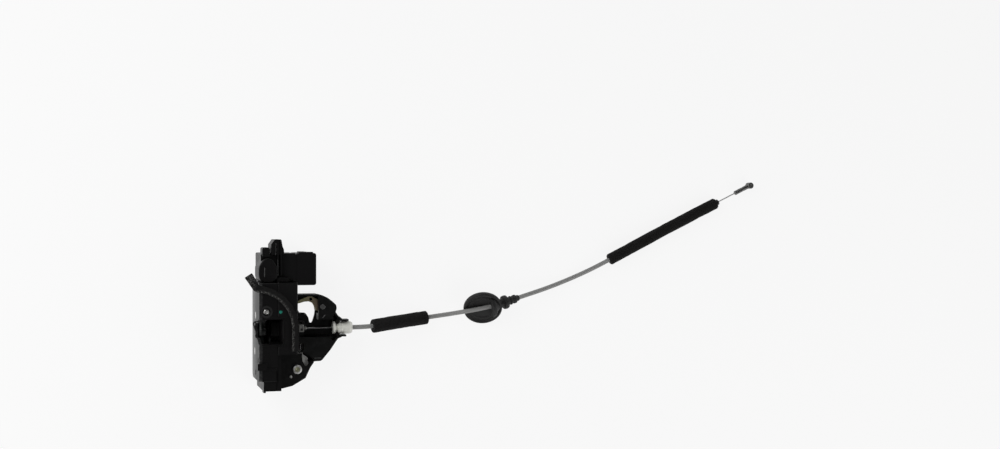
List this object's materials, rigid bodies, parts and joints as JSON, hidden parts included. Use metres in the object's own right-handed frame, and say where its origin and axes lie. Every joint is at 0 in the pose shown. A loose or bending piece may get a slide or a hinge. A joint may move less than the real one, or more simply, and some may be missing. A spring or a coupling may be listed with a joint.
{
  "type": "car door lock",
  "caption": "Car door latch with lock actuator: steel mouth plate, moulded case with foam seal, connector socket, lever bracket and a pull cable with grommet and foam sleeves.",
  "frame": {"origin": "centre of the latch plate's two-screw line, on the plate's outer face", "axes": "+X from the door's edge into the door and along the cable, +Y up in the mounted door, +Z towards the inside of the car"},
  "size_m": [0.5573, 0.2079, 0.0635],
  "materials": {
    "black_steel": "black e-coat",
    "bare_steel": "zinc plated",
    "case_plastic": "satin black",
    "housing_plastic": "satin black",
    "bracket_plastic": "satin black",
    "fork_plastic": "dark green-black",
    "rubber": "matte",
    "foam": "cellular foam",
    "chromate": "yellow chromate",
    "ivory": "smooth",
    "sheath_grey": "smooth vinyl",
    "wire": "drawn",
    "crimp": "dull",
    "contact": "tinned",
    "circuit": "matte",
    "wheel_plastic": "natural"
  },
  "bodies": {
    "lock": {"latch_plate": "black_steel", "weld_nuts": "black_steel", "counter_plate": "bare_steel", "fork_rivet": "bare_steel", "pawl_rivet": "bare_steel", "fork_spring": "wire", "pawl_spring": "wire", "latch_case": "case_plastic", "striker_buffer": "rubber", "actuator_housing": "housing_plastic", "actuator_cover": "housing_plastic", "cover_screws": "bare_steel", "lock_motor": "bare_steel", "circuit_carrier": "circuit", "microswitch": "circuit", "connector_pins": "contact", "connector_socket": "housing_plastic", "foam_seal": "foam", "case_screw": "bare_steel", "cable_bracket": "bracket_plastic", "lever_cover": "bracket_plastic", "lever_rivet": "bare_steel", "cover_pin": "bare_steel", "lever_spring": "wire", "outer_lever_pin": "crimp", "cable_ferrule": "ivory", "cable_sheath": "sheath_grey", "foam_sleeve_short": "foam", "foam_sleeve_long": "foam", "grommet": "rubber", "sheath_end_cap": "circuit"},
    "fork": {"fork_steel": "bare_steel", "fork_overmould": "fork_plastic"},
    "pawl": {"pawl": "bare_steel"},
    "inner_lever": {"inner_lever": "bare_steel"},
    "outer_lever": {"outer_lever": "chromate"},
    "core_near": {"cable_nipple": "bare_steel", "core_wire_near": "wire"},
    "core_far": {"core_wire_far": "wire", "end_stem": "crimp", "end_barrel": "crimp"},
    "worm": {"motor_worm": "bare_steel"},
    "wheel": {"worm_wheel": "wheel_plastic"},
    "lock_lever": {"lock_lever": "wheel_plastic"}
  },
  "joints": [
    {"name": "fork_turn", "type": "hinge", "parent": "lock", "child": "fork", "pos_m": [0.0069, 0.0145, -0.002], "axis": [-1, 0, 0], "range_deg": [0, 60], "stiffness_Nm_per_rad": 0.05, "springref_deg": -34.38, "deforming": ["fork_spring"]},
    {"name": "inner_lever_turn", "type": "hinge", "parent": "lock", "child": "inner_lever", "pos_m": [0.039, -0.0383, -0.006], "axis": [0, 0, -1], "range_deg": [0, 16], "stiffness_Nm_per_rad": 0.3, "springref_deg": -22.92, "deforming": ["lever_spring"]},
    {"name": "pawl_lift", "type": "hinge", "parent": "lock", "child": "pawl", "pos_m": [0.0069, -0.021, -0.009], "axis": [-1, 0, 0], "range_deg": [0, 5], "stiffness_Nm_per_rad": 0.05, "springref_deg": -28.65, "deforming": ["pawl_spring"]},
    {"name": "core_near_slide", "type": "slide", "parent": "lock", "child": "core_near", "axis": [1, 0, 0], "range_m": [0, 0.01204]},
    {"name": "core_far_slide", "type": "slide", "parent": "lock", "child": "core_far", "axis": [0.9017, 0.4323, 0.0021], "range_m": [0, 0.01204]},
    {"name": "outer_lever_turn", "type": "hinge", "parent": "lock", "child": "outer_lever", "pos_m": [0.0644, 0.0222, 0.00125], "axis": [0, 0, 1], "range_deg": [0, 12], "stiffness_Nm_per_rad": 0.05, "springref_deg": -22.92},
    {"name": "worm_wheel_turn", "type": "hinge", "parent": "lock", "child": "wheel", "pos_m": [0.0225, 0.059, -0.0155], "axis": [0, 1, 0], "range_deg": [0, 80]},
    {"name": "motor_spin", "type": "hinge", "parent": "lock", "child": "worm", "pos_m": [0.009, 0.059, -0.014], "axis": [0, 0, 1], "range_deg": [-1601, 1]},
    {"name": "lock_lever_slide", "type": "slide", "parent": "lock", "child": "lock_lever", "axis": [0, 0, -1], "range_m": [0, 0.01039]}
  ],
  "couplings": [
    {"joint": "pawl_lift", "follows": "inner_lever_turn", "ratio": 0.3},
    {"joint": "core_near_slide", "follows": "inner_lever_turn", "m_per_rad": 0.042741},
    {"joint": "core_far_slide", "follows": "inner_lever_turn", "m_per_rad": 0.042741},
    {"joint": "motor_spin", "follows": "worm_wheel_turn", "ratio": -20},
    {"joint": "lock_lever_slide", "follows": "worm_wheel_turn", "m_per_rad": 0.0073658}
  ]
}
